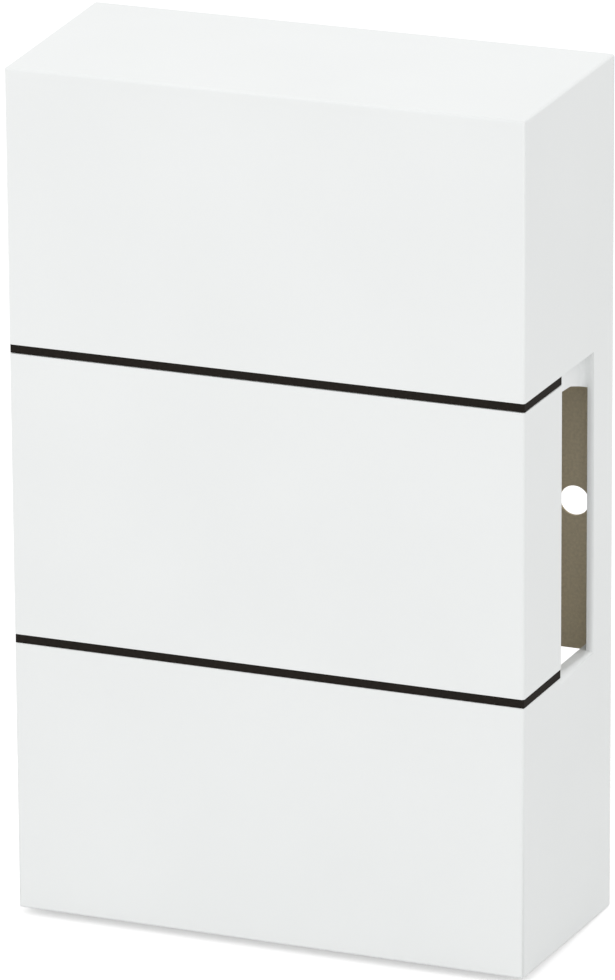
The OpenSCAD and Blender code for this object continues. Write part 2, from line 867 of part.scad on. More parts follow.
hood();
panel_tray();
front_panel();
base();
tone_bar_left();
tone_bar_right();
bar_grommets();
bar_clips();
yoke();
keeper();
bobbin();
winding();
guide_tube();
plunger();
striker_tip_left();
striker_tip_right();
spring_clip();
return_spring();
yoke_screws();
terminal_block();
terminal_sleeves();
terminal_screws();
block_screw();
lead_left();
lead_right();
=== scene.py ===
# %% [markdown]
# # A two-note doorbell chime in a white wall box
# The box is a white moulded hood over a brown base. A white panel wraps round the middle of the hood,
# between two dark lines, and a tall sound outlet opens behind it in each side. Inside, a sprung steel
# plunger strikes one tone bar when a coil draws it in and the other when it is let go.
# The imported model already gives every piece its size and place. These cells add edges, finishes and
# light.

# %% The frame
import json
from math import atan2, copysign, cos, hypot, pi, radians, sin

import bmesh
import bpy
from mathutils import Matrix, Quaternion, Vector


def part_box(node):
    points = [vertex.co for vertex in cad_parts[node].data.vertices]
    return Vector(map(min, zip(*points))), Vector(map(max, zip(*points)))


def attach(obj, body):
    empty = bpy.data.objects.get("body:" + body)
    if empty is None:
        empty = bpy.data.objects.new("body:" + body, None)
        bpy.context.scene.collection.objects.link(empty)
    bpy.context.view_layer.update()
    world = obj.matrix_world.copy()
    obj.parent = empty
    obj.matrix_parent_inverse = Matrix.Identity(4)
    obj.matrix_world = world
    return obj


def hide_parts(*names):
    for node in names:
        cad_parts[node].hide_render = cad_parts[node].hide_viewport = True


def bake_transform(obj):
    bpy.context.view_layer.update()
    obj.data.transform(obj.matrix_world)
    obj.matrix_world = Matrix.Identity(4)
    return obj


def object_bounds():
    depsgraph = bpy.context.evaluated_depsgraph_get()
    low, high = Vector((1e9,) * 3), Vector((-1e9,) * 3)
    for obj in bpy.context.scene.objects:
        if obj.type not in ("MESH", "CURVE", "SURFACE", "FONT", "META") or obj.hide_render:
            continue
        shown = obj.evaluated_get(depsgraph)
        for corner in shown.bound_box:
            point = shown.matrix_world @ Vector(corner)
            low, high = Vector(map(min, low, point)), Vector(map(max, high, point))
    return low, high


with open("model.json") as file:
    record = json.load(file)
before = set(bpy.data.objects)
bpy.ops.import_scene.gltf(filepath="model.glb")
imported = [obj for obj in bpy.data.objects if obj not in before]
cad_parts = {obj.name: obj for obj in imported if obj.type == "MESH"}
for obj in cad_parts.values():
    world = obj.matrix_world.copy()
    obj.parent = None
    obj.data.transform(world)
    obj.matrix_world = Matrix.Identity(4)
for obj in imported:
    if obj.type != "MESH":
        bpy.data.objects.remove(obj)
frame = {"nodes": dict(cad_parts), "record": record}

cad_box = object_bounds()
scene = bpy.context.scene
MM = 0.001
RECORD = frame["record"]
BODY_OF = {node: body for body, nodes in RECORD["behaviour"]["bodies"].items() for node in nodes}
print(len(frame["nodes"]), "nodes, box in mm", [round(side / MM, 1) for side in cad_box[1] - cad_box[0]])

# %% [markdown]
# ## The camera
# The picture was taken from the right and a little above with a long lens, so the box keeps almost
# parallel edges. A camera is placed by its aim point, two angles, a small roll and a distance, because
# those are the numbers a photographer would note down. The long side of the picture sets the lens.

# %% Camera
VIEW_AIM = Vector((7.36, -38.0, 6.89)) * MM
VIEW_TURN = radians(22.157)
VIEW_RISE = radians(18.430)
VIEW_ROLL = radians(-0.366)
VIEW_DISTANCE = 1.30045
VIEW_LENS = 300.99

to_camera = Vector((sin(VIEW_TURN) * cos(VIEW_RISE), -cos(VIEW_TURN) * cos(VIEW_RISE), sin(VIEW_RISE)))
camera = bpy.data.objects.new("camera", bpy.data.cameras.new("camera"))
scene.collection.objects.link(camera)
camera.location = VIEW_AIM + VIEW_DISTANCE * to_camera
camera.rotation_mode = "QUATERNION"
camera.rotation_quaternion = to_camera.to_track_quat("Z", "Y") @ Quaternion((0, 0, 1), VIEW_ROLL)
camera.data.lens = VIEW_LENS
scene.camera = camera
print("camera at", [round(x, 3) for x in camera.location])

# %% [markdown]
# ## Nodes in few words
# Every finish below is a small network of shader nodes. Adding a node, setting its sockets and linking
# it takes several lines each time, so one helper does it, and the rest of the lesson reads like a
# recipe.

# %% Node helpers
def add(tree, kind, inputs=None, **settings):
    """Adds a shader node. Inputs are set by name: a socket links, any other value is written."""
    node = tree.nodes.new("ShaderNode" + kind)
    for key, value in settings.items():
        setattr(node, key, value)
    for key, value in (inputs or {}).items():
        if isinstance(value, bpy.types.NodeSocket):
            tree.links.new(value, node.inputs[key])
        else:
            node.inputs[key].default_value = value
    return node


def seen_directly(tree):
    """One for rays that show the stage, also in gloss and glass, and zero for rays that light."""
    path = add(tree, "LightPath").outputs
    seen = add(tree, "Math", {0: path["Is Camera Ray"], 1: path["Is Glossy Ray"]}, operation="MAXIMUM")
    seen = add(tree, "Math", {0: seen.outputs[0], 1: path["Is Transmission Ray"]}, operation="MAXIMUM")
    return seen.outputs[0]


print("node helpers ready")

# %% [markdown]
# ## Floor and sky
# The box is shown on plain white. The floor is a pale diffuse sheet that takes the shadow, and it gives
# off some white only towards the camera, so that it reads as white without more light on the object.
# The sky does most of the lighting: an even soft light for the object, and plain white where it is seen.

# %% Floor and sky
WHITE = (1, 1, 1, 1)
FLOOR_SIZE = 6.0
FLOOR_COLOUR = (0.70, 0.70, 0.70, 1)
FLOOR_LIFT = 0.45
SKY_LIGHT = 0.99

scene.view_settings.view_transform = "Standard"
bm = bmesh.new()
bmesh.ops.create_grid(bm, x_segments=1, y_segments=1, size=FLOOR_SIZE / 2)
bmesh.ops.translate(bm, verts=bm.verts, vec=(0, 0, cad_box[0].z))
floor = bpy.data.objects.new("floor", bpy.data.meshes.new("floor"))
bm.to_mesh(floor.data)
bm.free()
scene.collection.objects.link(floor)

paper = bpy.data.materials.new("floor_paper")
paper.use_nodes = True
tree = paper.node_tree
tree.nodes.clear()
lit = add(tree, "BsdfDiffuse", {"Color": FLOOR_COLOUR})
lift = add(tree, "Math", {0: seen_directly(tree), 1: FLOOR_LIFT}, operation="MULTIPLY")
glow = add(tree, "Emission", {"Color": WHITE, "Strength": lift.outputs[0]})
both = add(tree, "AddShader", {0: lit.outputs[0], 1: glow.outputs[0]})
add(tree, "OutputMaterial", {"Surface": both.outputs[0]})
floor.data.materials.append(paper)

world = bpy.data.worlds.new("sky")
scene.world = world
world.use_nodes = True
tree = world.node_tree
tree.nodes.clear()
soft_sky = add(tree, "Background", {"Color": WHITE, "Strength": SKY_LIGHT})
white_sky = add(tree, "Background", {"Color": WHITE, "Strength": 1.0})
sky = add(tree, "MixShader", {0: seen_directly(tree), 1: soft_sky.outputs[0], 2: white_sky.outputs[0]})
add(tree, "OutputWorld", {"Surface": sky.outputs[0]})
print("floor at", round(cad_box[0].z, 4), "sky light", SKY_LIGHT)

# %% [markdown]
# ## Studio lamps
# The top of the box is the brightest face, the front comes next and the right side is a little darker.
# The sky alone gives the top its lead, and the pale floor fills the upright faces from below. One wide
# softbox from the front and left lifts the front, and a faint one from the right reaches into the sound
# outlet. Strong lamps would draw a bright line along every round edge, so both are weak.

# %% Softboxes
# The place and the width of each lamp in metres, and its power in watts.
SOFTBOXES = {"softbox_front": ((-0.45, -1.6, 0.6), 1.2, 4.2),
             "softbox_right": ((1.2, -0.6, 0.9), 1.0, 0.6)}


def softbox(name, place, width, power):
    """A square area lamp that looks at the middle of the box."""
    lamp = bpy.data.objects.new(name, bpy.data.lights.new(name, "AREA"))
    lamp.data.size = width
    lamp.data.energy = power
    lamp.location = place
    lamp.rotation_mode = "QUATERNION"
    lamp.rotation_quaternion = Vector(place).to_track_quat("Z", "Y")
    scene.collection.objects.link(lamp)


for name, settings in SOFTBOXES.items():
    softbox(name, *settings)
print("lamps:", list(SOFTBOXES))

# %% [markdown]
# ## Grain, tint and relief
# A moulded or ground surface is never one flat colour. Each finish starts from noise in the object's own
# coordinates, which do not slide when the piece moves. The noise tints the colour, varies the gloss and
# raises a fine relief. Stretching the noise along one axis turns it into brush marks.

# %% Finish helpers
# Noise seldom leaves this range, so it is what the tints and values are spread over.
GRAIN_LOW, GRAIN_HIGH = 0.3, 0.7


def finish(name, metallic=0.0, specular=0.5):
    """A new material and the two things that a recipe needs: its tree and its shader."""
    material = bpy.data.materials.new(name)
    material.use_nodes = True
    shader = material.node_tree.nodes["Principled BSDF"]
    shader.inputs["Metallic"].default_value = metallic
    shader.inputs["Specular IOR Level"].default_value = specular
    return material, material.node_tree, shader


def grain(tree, size, detail=2.0, stretch=(1, 1, 1)):
    """Noise with features of a given size in metres, longer along an axis with a small stretch."""
    place = add(tree, "TexCoord").outputs["Object"]
    turned = add(tree, "Mapping", {"Vector": place, "Scale": stretch})
    noise = add(tree, "TexNoise", {"Vector": turned.outputs[0], "Scale": 1 / size, "Detail": detail})
    return noise.outputs["Fac"]


def tint(tree, shader, fac, dark, light):
    """Colour that goes from one shade to another with a grain."""
    ramp = add(tree, "ValToRGB", {"Fac": fac})
    stops = zip(ramp.color_ramp.elements, (GRAIN_LOW, GRAIN_HIGH), (dark, light))
    for stop, place, shade in stops:
        stop.position = place
        stop.color = (*shade, 1)
    tree.links.new(ramp.outputs["Color"], shader.inputs["Base Color"])


def vary(tree, shader, socket, fac, low, high):
    """A shader value that goes from low to high with a grain."""
    spread = add(tree, "MapRange", {"Value": fac, "From Min": GRAIN_LOW, "From Max": GRAIN_HIGH,
                                    "To Min": low, "To Max": high})
    tree.links.new(spread.outputs[0], shader.inputs[socket])


def relief(tree, shader, fac, depth):
    """Fine bumps whose height is the depth in metres."""
    bump = add(tree, "Bump", {"Height": fac, "Distance": depth, "Strength": 1.0})
    tree.links.new(bump.outputs["Normal"], shader.inputs["Normal"])


print("finish helpers ready")

# %% [markdown]
# ## Matt white moulding
# The hood and the panel are the same cool white plastic from a finely etched mould. The flow of the
# plastic leaves a barely visible cloudiness, and the etched mould leaves a fine relief that spreads every
# highlight until none is seen. Both are weak here, because the surface in the picture is very even.

# %% White finishes
def white_moulding(name, cloud):
    """White plastic; cloud is the size of its faint flow marks."""
    material, tree, shader = finish(name, specular=0.3)
    tint(tree, shader, grain(tree, cloud), dark=(0.850, 0.866, 0.862), light=(0.866, 0.882, 0.878))
    etched = grain(tree, size=0.35 * MM, detail=3.0)
    vary(tree, shader, "Roughness", etched, low=0.58, high=0.70)
    relief(tree, shader, etched, depth=0.004 * MM)
    return material


hood_white = white_moulding("hood_white", cloud=30 * MM)
panel_white = white_moulding("panel_white", cloud=24 * MM)
print("white finishes:", hood_white.name, panel_white.name)

# %% [markdown]
# ## Dark and brown finishes
# The tray behind the panel is coloured nearly black and dull, and that colour is painted shade: it makes
# the two lines over it as dark as deep gaps. The base is a brown-grey plastic of mixed granules: a fine
# speckle over broad clouds shows that.

# %% Dark and brown finishes
def gap_shade_finish():
    """Dull, nearly black colour: painted shade for the deep gaps of the two lines."""
    material, tree, shader = finish("tray_painted_shade", specular=0.1)
    etched = grain(tree, size=0.4 * MM, detail=3.0)
    # The near-black tint paints the shade of the deep gaps over the tray.
    tint(tree, shader, etched, dark=(0.012, 0.010, 0.008), light=(0.020, 0.016, 0.013))
    vary(tree, shader, "Roughness", etched, low=0.72, high=0.85)
    relief(tree, shader, etched, depth=0.006 * MM)
    return material


def brown_moulding():
    """Brown-grey plastic with a granular speckle."""
    material, tree, shader = finish("base_brown", specular=0.3)
    granules = grain(tree, size=0.5 * MM, detail=6.0)
    tint(tree, shader, granules, dark=(0.60, 0.515, 0.36), light=(0.72, 0.62, 0.435))
    vary(tree, shader, "Roughness", grain(tree, size=6 * MM), low=0.55, high=0.70)
    relief(tree, shader, granules, depth=0.008 * MM)
    return material


tray_painted_shade = gap_shade_finish()
base_brown = brown_moulding()
print("mouldings:", tray_painted_shade.name, base_brown.name)

# %% [markdown]
# ## Metals
# Tone bars are ground along their length before plating, so their grain is stretched along Z. The yoke
# and the small hardware are zinc plated, with the cloudy patches that plating leaves. The plunger is
# turned, so its fine lines run round its axis, and the spring is drawn wire.

# %% Metal finishes
GLOSS_SPREAD = 0.06
PLATING_CLOUD = 5 * MM
ALL_WAYS = (1, 1, 1)
ALONG_Z = (1, 1, 0.02)
ROUND_X = (1, 0.03, 0.03)


def metal(name, dark, light, rough, size, stretch=ALL_WAYS, depth=0.003 * MM):
    """Metal whose brush marks have a size, a direction and a depth."""
    material, tree, shader = finish(name, metallic=1.0)
    marks = grain(tree, size, detail=4.0, stretch=stretch)
    tint(tree, shader, grain(tree, PLATING_CLOUD, detail=3.0), dark, light)
    vary(tree, shader, "Roughness", marks, rough - GLOSS_SPREAD, rough + GLOSS_SPREAD)
    relief(tree, shader, marks, depth)
    return material


bar_plate = metal("bar_plate", (0.58, 0.59, 0.61), (0.66, 0.67, 0.69),
                  rough=0.30, size=0.25 * MM, stretch=ALONG_Z, depth=0.004 * MM)
zinc_plate = metal("zinc_plate", (0.50, 0.52, 0.54), (0.60, 0.61, 0.61),
                   rough=0.38, size=0.6 * MM, depth=0.006 * MM)
turned_steel = metal("turned_steel", (0.46, 0.46, 0.47), (0.55, 0.55, 0.56),
                     rough=0.28, size=0.12 * MM, stretch=ROUND_X)
drawn_wire = metal("drawn_wire", (0.40, 0.40, 0.41), (0.50, 0.50, 0.51), rough=0.30, size=0.2 * MM)
bright_brass = metal("bright_brass", (0.66, 0.47, 0.19), (0.76, 0.57, 0.27),
                     rough=0.26, size=0.2 * MM, stretch=ROUND_X)
print("metals:", [m.name for m in (bar_plate, zinc_plate, turned_steel, drawn_wire, bright_brass)])

# %% [markdown]
# ## Nylon, rubber, tape and sleeves
# The soft and small pieces each have their own surface: nylon is milky, rubber is dull with a dusty
# bloom, and the leads wear a smooth red sleeve. The coil shows its wire only as fine ridges under a
# glossy amber tape, so the tape's relief is an even wave along the axis instead of noise.

# %% Soft finishes
WIRE_PITCH = 0.4 * MM
WAVE_BAND = 2 * pi / 20  # one band of the wave texture at a scale of 1
SOFT_SPREAD = 0.07


def plain_moulding(name, dark, light, rough, size, depth):
    """A coloured moulding with one grain for colour, gloss and relief."""
    material, tree, shader = finish(name)
    marks = grain(tree, size, detail=4.0)
    tint(tree, shader, marks, dark, light)
    vary(tree, shader, "Roughness", marks, rough - SOFT_SPREAD, rough + SOFT_SPREAD)
    relief(tree, shader, marks, depth)
    return material


def coil_tape():
    """Amber film drawn tight over rows of wire, with one band of a wave for each row."""
    material, tree, shader = finish("coil_tape")
    streaks = grain(tree, size=0.6 * MM, detail=4.0, stretch=(1, 0.08, 0.08))
    tint(tree, shader, streaks, dark=(0.50, 0.29, 0.05), light=(0.62, 0.40, 0.09))
    vary(tree, shader, "Roughness", streaks, low=0.20, high=0.32)
    place = add(tree, "TexCoord").outputs["Object"]
    rows = add(tree, "TexWave", {"Vector": place, "Scale": WAVE_BAND / WIRE_PITCH}, bands_direction="X")
    relief(tree, shader, rows.outputs["Fac"], depth=0.03 * MM)
    shader.inputs["Coat Weight"].default_value = 0.3
    return material


FINE = 0.006 * MM
natural_nylon = plain_moulding("natural_nylon", (0.74, 0.71, 0.61), (0.82, 0.80, 0.72),
                               rough=0.43, size=0.8 * MM, depth=FINE)
grommet_rubber = plain_moulding("grommet_rubber", (0.022, 0.022, 0.022), (0.045, 0.044, 0.042),
                                rough=0.74, size=0.5 * MM, depth=2 * FINE)
block_white = plain_moulding("block_white", (0.72, 0.72, 0.68), (0.80, 0.80, 0.77),
                             rough=0.39, size=1.2 * MM, depth=FINE)
red_sleeve = plain_moulding("red_sleeve", (0.40, 0.05, 0.03), (0.50, 0.09, 0.06),
                            rough=0.40, size=0.7 * MM, depth=FINE)
tape_finish = coil_tape()
soft_finishes = (natural_nylon, grommet_rubber, block_white, red_sleeve, tape_finish)
print("soft finishes:", [m.name for m in soft_finishes])

# %% [markdown]
# ## Edges that catch the light
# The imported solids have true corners, and a true corner looks cut from paper. A copy of each solid is
# welded, its flat triangles are joined, and its sharp edges get a small round. A weighted normal then
# keeps the wide faces flat while the rounds shade smoothly.

# %% Softened copies
SEAM = 0.001 * MM
FLAT = radians(1)
CREASE = radians(60)
WIDE_FACES = 100


def welded(node):
    """A copy of a CAD node's mesh, with its seams welded and its flat triangles joined."""
    bm = bmesh.new()
    bm.from_mesh(frame["nodes"][node].data)
    bmesh.ops.remove_doubles(bm, verts=bm.verts, dist=SEAM)
    bmesh.ops.dissolve_limit(bm, angle_limit=FLAT, verts=bm.verts, edges=bm.edges)
    return bm


def soften(bm, edge, segments=2, sharp=35, leave=None):
    """Rounds the sharp edges of a bmesh, apart from those that leave picks out, which stay crisp."""
    crisp = [e for e in bm.edges if e.is_manifold and e.calc_face_angle() > radians(sharp)]
    chosen = [e for e in crisp if not (leave and leave(e))]
    bmesh.ops.bevel(bm, geom=chosen, offset=edge, segments=segments, profile=0.5, affect="EDGES",
                    material=-1, clamp_overlap=False)
    for e in bm.edges:
        e.smooth = e.calc_face_angle(0) < CREASE
    return bm


def as_object(bm, name, material):
    """Makes a bmesh a smooth object with one material."""
    for face in bm.faces:
        face.smooth = True
    mesh = bpy.data.meshes.new(name)
    bm.to_mesh(mesh)
    bm.free()
    mesh.materials.append(material)
    piece = bpy.data.objects.new(name, mesh)
    scene.collection.objects.link(piece)
    return piece


def place(bm, name, material, *nodes):
    """Makes a bmesh a piece that stands for CAD nodes and rides on their body."""
    piece = as_object(bm, name, material)
    weighted = piece.modifiers.new("even_shading", "WEIGHTED_NORMAL")
    weighted.weight = WIDE_FACES
    weighted.keep_sharp = True
    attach(piece, BODY_OF[nodes[0]])
    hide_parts(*nodes)
    print(name, "on", BODY_OF[nodes[0]], "with", len(piece.data.polygons), "faces")


print("edge helpers ready")

# %% [markdown]
# ## Edge of the sound outlets
# The hood is one moulding, and its outer rounds are in the solid already. On the real hood the edge of
# a sound outlet is one soft round that runs down the strip and on along the ledge below. The strip's
# round in the solid stops at the ledge, so it is drawn out to a plain corner first, and one bevel can
# then go round both edges. On the ledge the round grows towards the panel, so the bevel's front end is
# scaled about its corner afterwards.

# %% Outlet helpers
LIP_R = 0.8 * MM
OUTLET_ROUND = 0.6 * MM
LEDGE_GROWTH = 2.4
STRIP_FRONT = -8.4 * MM
SIDE_LEAN = 0.875 / 38
TOUCH = 0.02 * MM

hood_low, hood_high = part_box("hood")
line_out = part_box("panel_tray")[1].z
panel_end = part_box("front_panel")[1].y


def side_x(y):
    """How far the leaning side of the case is from the middle, at a depth."""
    return hood_high.x + SIDE_LEAN * y


def near(value, wanted):
    """True for two lengths that are the same but for rounding."""
    return abs(value - wanted) < TOUCH


def draw_out_strip(bm):
    """Moves the ends of the strip's round to the corner that it came from."""
    for v in bm.verts:
        in_round = -TOUCH < v.co.y - STRIP_FRONT < LIP_R + TOUCH
        at_side = abs(v.co.x) > side_x(STRIP_FRONT) - LIP_R - TOUCH
        if in_round and at_side and near(abs(v.co.z), line_out):
            v.co = (copysign(side_x(STRIP_FRONT), v.co.x), STRIP_FRONT, v.co.z)
    bmesh.ops.remove_doubles(bm, verts=bm.verts, dist=SEAM)
    bmesh.ops.dissolve_limit(bm, angle_limit=FLAT, verts=bm.verts, edges=bm.edges)


def outlet_edges(bm):
    """The strip's and the ledge's outer edges on both sides."""
    found = []
    for e in bm.edges:
        points = [v.co for v in e.verts]
        outside = all(near(abs(p.x), side_x(p.y)) for p in points)
        strip = all(near(p.y, STRIP_FRONT) for p in points)
        ledge = all(near(p.z, -line_out) and panel_end - TOUCH < p.y < STRIP_FRONT + TOUCH
                    for p in points)
        if outside and (strip or ledge):
            found.append(e)
    return found


def grow_ledge_round(bm):
    """Widens the front end of the ledge's round on both sides."""
    for v in bm.verts:
        corner = Vector((copysign(side_x(panel_end), v.co.x), panel_end, -line_out))
        away = v.co - corner
        if near(away.y, 0) and away.z < TOUCH and away.length < OUTLET_ROUND + TOUCH:
            v.co = corner + LEDGE_GROWTH * away


print("outlets between z = +-", round(line_out / MM, 2), "and behind y =", round(panel_end / MM, 2), "mm")

# %% [markdown]
# ## Tabs at the top of the outlets
# A tab closes the top of each outlet. Its face starts level with the side at the panel's end and sinks
# towards the strip, where a hollow round joins the two, so the light fades across it without a line.
# Moving the solid's own points along X sinks the face and keeps the faces next to it flat, and a bevel
# on the inner corner makes the hollow round.

# %% Tab helpers
TAB_START = -20.9 * MM
TAB_LOW = 15 * MM
TAB_GAP = 0.06 * MM
TAB_RISE = 0.169
TAB_LEVEL = 0.1 * MM
TAB_DEPTH = 2.3 * MM
TAB_ROUND = 1.1 * MM
SIDEWAYS = 0.9


def reach_panel(bm):
    """Brings the front of each tab up to the panel's end, along the slope of its lower edge."""
    for v in bm.verts:
        if near(v.co.y, TAB_START) and TAB_LOW < v.co.z < line_out + TOUCH:
            step = v.co.y - panel_end - TAB_GAP
            v.co.y -= step
            if v.co.z < line_out - TOUCH:
                v.co.z += TAB_RISE * step


def sink_tabs(bm):
    """Lets each tab's face sink evenly from the panel to the strip."""
    start = panel_end + TAB_GAP
    for face in bm.faces:
        between = all(panel_end < v.co.y < STRIP_FRONT + TOUCH for v in face.verts)
        if between and abs(face.normal.x) > SIDEWAYS:
            for v in face.verts:
                run = (v.co.y - start) / (STRIP_FRONT - start)
                v.co.x = copysign(side_x(v.co.y) - TAB_LEVEL - (TAB_DEPTH - TAB_LEVEL) * run, v.co.x)


def tab_corners(bm):
    """The inner corner between each tab and the strip."""
    deep = side_x(STRIP_FRONT) - TAB_DEPTH
    return [e for e in bm.edges
            if all(near(v.co.y, STRIP_FRONT) and near(abs(v.co.x), deep) for v in e.verts)]


print("tabs sink", round(TAB_DEPTH / MM, 1), "mm below the side")

# %% [markdown]
# ## Hood
# The helpers above shape the outlets, and a cut across the ledge keeps their bevel clear of the dark
# line. All other outer edges then get a very small round. The front corners are left out, because the
# solid's own rounds meet there in faces that are smaller than the bevel, and inner corners stay crisp.

# %% Hood
EDGE = 0.08 * MM
CORNER_DEPTH = 2 * MM
CORNER_HEIGHT = 2.5 * MM
ROUND_FACES = 6


def round_off(bm, edges, size):
    """Bevels some edges into a round with several faces."""
    bmesh.ops.bevel(bm, geom=edges, offset=size, segments=ROUND_FACES, profile=0.5, affect="EDGES",
                    material=-1, clamp_overlap=False)
    print(len(edges), "edges rounded to", round(size / MM, 2), "mm")


def stays_crisp(edge):
    """True for inner corners and for the short edges at the front corners."""
    middle = (edge.verts[0].co + edge.verts[1].co) / 2
    at_front = middle.y < hood_low.y + CORNER_DEPTH
    return not edge.is_convex or (at_front and abs(middle.z) > hood_high.z - CORNER_HEIGHT)


def hood_shell():
    """The hood with soft outlets, sunk tabs and small rounds on its other edges."""
    bm = welded("hood")
    draw_out_strip(bm)
    reach_panel(bm)
    sink_tabs(bm)
    round_off(bm, tab_corners(bm), TAB_ROUND)
    bmesh.ops.bisect_plane(bm, geom=bm.verts[:] + bm.edges[:] + bm.faces[:], dist=SEAM,
                           plane_co=(0, panel_end, 0), plane_no=(0, 1, 0))
    round_off(bm, outlet_edges(bm), OUTLET_ROUND)
    grow_ledge_round(bm)
    return soften(bm, EDGE, leave=stays_crisp)


place(hood_shell(), "hood_shell", hood_white, "hood")

# %% [markdown]
# ## Panel and tray
# The panel clips on over the dark tray, and both meet the hood with crisp edges: a wide round there
# would make the dark lines look thicker than they are. A very small one is enough to stop a paper look.
# The lines lie back from the front, but at the sides they come out almost to the surface, so that they
# end where the panel ends when they are seen at a slant.

# %% Panel and tray
LINE_DROP = 0.3 * MM
LINE_OUT = 0.15 * MM


def tray_with_lines():
    """The tray with its lines brought out at the sides."""
    bm = welded("panel_tray")
    for v in bm.verts:
        if side_x(v.co.y) - abs(v.co.x) < LINE_DROP:
            v.co.x += copysign(LINE_OUT, v.co.x)
    return soften(bm, EDGE / 2)


place(soften(welded("front_panel"), EDGE), "wrap_panel", panel_white, "front_panel")
# The tray carries the painted-shade finish, so the two lines over it come out dark.
place(tray_with_lines(), "dark_tray", tray_painted_shade, "panel_tray")

# %% [markdown]
# ## Shapes on a lathe
# The movement has many round pieces. Each is a closed outline of lengths along X and distances from the
# axis, with small curves at its corners, and spinning that outline makes the piece, as a lathe would.
# Pieces that come in fours share one CAD node, so their places are read from its separate solids.

# %% Lathe helpers
def islands(node):
    """The lowest and the highest corner of each separate solid in a CAD node."""
    bm = welded(node)
    boxes, left = [], set(bm.verts)
    while left:
        todo, found = [left.pop()], []
        while todo:
            vert = todo.pop()
            found.append(vert.co.copy())
            linked = {edge.other_vert(vert) for edge in vert.link_edges} & left
            left -= linked
            todo.extend(linked)
        boxes.append((Vector(map(min, *found)), Vector(map(max, *found))))
    bm.free()
    return sorted(boxes, key=lambda box: tuple(box[0]))


def rounded(corners, steps=3):
    """An outline through corners of (along, out, round), with a short curve at each of them."""
    points = []
    for i, (along, out, size) in enumerate(corners):
        here = Vector((along, out))
        before = Vector(corners[i - 1][:2]) - here
        after = Vector(corners[(i + 1) % len(corners)][:2]) - here
        start, end = here + size * before.normalized(), here + size * after.normalized()
        for t in (k / steps for k in range(steps + 1)):
            points.append(start.lerp(here, t).lerp(here.lerp(end, t), t))
    return points


def turn(bm, outline, centre, angle=2 * pi, steps=64, loop=True):
    """Spins an outline of (along, out) points, a loop or an open one, round an axis along X."""
    verts = [bm.verts.new(centre + Vector((along, out, 0))) for along, out in outline]
    after = verts[1:] + verts[:1] if loop else verts[1:]
    edges = [bm.edges.new(pair) for pair in zip(verts, after)]
    bmesh.ops.spin(bm, geom=verts + edges, cent=centre, axis=(1, 0, 0), angle=angle, steps=steps,
                   use_merge=angle == 2 * pi, use_duplicate=False)


def closed(bm):
    """Welds a bmesh, fills its open ends and turns its faces outwards."""
    bmesh.ops.remove_doubles(bm, verts=bm.verts, dist=SEAM)
    bmesh.ops.holes_fill(bm, edges=[e for e in bm.edges if e.is_boundary])
    bmesh.ops.recalc_face_normals(bm, faces=bm.faces)
    return bm


print("lathe helpers ready")

# %% [markdown]
# ## Base and tone bars
# The base is a flat moulding with posts for the bars and the movement. Its screw holes have a thin edge,
# so its round is small. The tone bars are cut from flat steel, and tumbling before plating takes their
# burrs off, which leaves a clearly rounded edge that catches the light.

# %% Base and bars
MOULDED_EDGE = 0.15 * MM
TUMBLED_EDGE = 0.3 * MM

place(soften(welded("base"), MOULDED_EDGE), "base_plate", base_brown, "base")
place(soften(welded("tone_bar_left"), TUMBLED_EDGE, segments=3), "low_bar", bar_plate, "tone_bar_left")
place(soften(welded("tone_bar_right"), TUMBLED_EDGE, segments=3), "high_bar", bar_plate,
      "tone_bar_right")

# %% [markdown]
# ## Grommets and push-on clips
# A rubber grommet holds each bar where it stands still while it rings, so the note lasts. It is a spool,
# and all its edges are soft, so it is spun from a rounded outline. The clip that keeps it on its peg is
# spring sheet with six teeth, bent outwards so that they bite. Spinning an open outline makes its dished
# face, the slots are faces taken away, and pushing the rest along X gives the sheet its thickness.

# %% Grommets and clips
FLANGE_T = 0.8 * MM
HUB_R = 3.95 * MM
BORE_R = 2.05 * MM
RUBBER_ROUND = 0.3 * MM
SHEET_T = 0.4 * MM
TEETH = 6
TOOTH_STEPS = 12
SLOT_STEPS = 2
TOOTH_ROOT = 3.0 * MM
TOOTH_DISH = 0.4
RIM_START = 3.3 * MM
CUT_EDGE = 0.05 * MM
CUT_ANGLE = 50


def spools():
    """All grommets, each a spool between a bar and its peg."""
    bm = bmesh.new()
    for low, high in islands("bar_grommets"):
        half, out = (high.x - low.x) / 2, (high.z - low.z) / 2
        waist = half - FLANGE_T
        turn(bm, rounded([(-half, BORE_R, RUBBER_ROUND), (half, BORE_R, RUBBER_ROUND),
                          (half, out, RUBBER_ROUND), (waist, out, RUBBER_ROUND), (waist, HUB_R, 0),
                          (-waist, HUB_R, 0), (-waist, out, RUBBER_ROUND), (-half, out, RUBBER_ROUND)]),
             (low + high) / 2)
    return closed(bm)


def in_slot(face, centre):
    """True for a face between two teeth."""
    middle = face.calc_center_median() - centre
    part = atan2(middle.z, middle.y) % (2 * pi) / (2 * pi)
    between = int(part * TEETH * TOOTH_STEPS) % TOOTH_STEPS < SLOT_STEPS
    return between and hypot(middle.y, middle.z) < TOOTH_ROOT


def star_clip(bm, low, high):
    """One dished clip whose teeth lean away from the bar."""
    centre = (low + high) / 2
    side = copysign(1, centre.x)
    inner = Vector((low.x if side > 0 else high.x, centre.y, centre.z))
    bend = side * (high.x - low.x - SHEET_T)
    out = (high.z - low.z) / 2
    others = set(bm.faces)
    turn(bm, [(bend, BORE_R), (TOOTH_DISH * bend, TOOTH_ROOT), (0, RIM_START), (0, out)], inner,
         steps=TEETH * TOOTH_STEPS, loop=False)
    slots = [f for f in bm.faces if f not in others and in_slot(f, inner)]
    bmesh.ops.delete(bm, geom=slots, context="FACES")
    sheet = [f for f in bm.faces if f not in others]
    pushed = bmesh.ops.extrude_face_region(bm, geom=sheet)["geom"]
    bmesh.ops.translate(bm, verts=[g for g in pushed if isinstance(g, bmesh.types.BMVert)],
                        vec=(side * SHEET_T, 0, 0))


